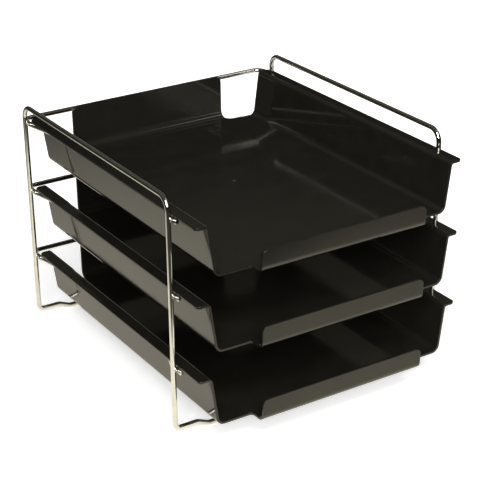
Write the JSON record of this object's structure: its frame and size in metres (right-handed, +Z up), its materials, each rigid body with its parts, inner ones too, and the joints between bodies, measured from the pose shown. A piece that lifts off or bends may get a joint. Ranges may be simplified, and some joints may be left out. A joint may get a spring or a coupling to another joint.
{
  "type": "stack of letter trays",
  "caption": "Open wire frame with letter trays one above the other, each hung by its side flanges on a wire runner and drawn out to the front.",
  "frame": {"origin": "on the table, under the middle of the stack", "axes": "+Z up, -Y towards the open front with the finger lips, +X to the right seen from the front"},
  "size_m": [0.2986, 0.363, 0.2364],
  "materials": {
    "chromed_wire": "bright polished chrome on steel wire",
    "black_plastic": "smooth moulded plastic with a soft gloss"
  },
  "bodies": {
    "frame": {"left_side_loop": "chromed_wire", "right_side_loop": "chromed_wire", "tray_runner_bottom": "chromed_wire", "tray_runner_middle": "chromed_wire", "tray_runner_top": "chromed_wire"},
    "bottom_tray": {"letter_tray_bottom": "black_plastic"},
    "middle_tray": {"letter_tray_middle": "black_plastic"},
    "top_tray": {"letter_tray_top": "black_plastic"}
  },
  "joints": [
    {"name": "bottom_tray_slide", "type": "slide", "parent": "frame", "child": "bottom_tray", "axis": [0, -1, 0], "range_m": [0, 0.12]},
    {"name": "middle_tray_slide", "type": "slide", "parent": "frame", "child": "middle_tray", "axis": [0, -1, 0], "range_m": [0, 0.12]},
    {"name": "top_tray_slide", "type": "slide", "parent": "frame", "child": "top_tray", "axis": [0, -1, 0], "range_m": [0, 0.12]}
  ]
}
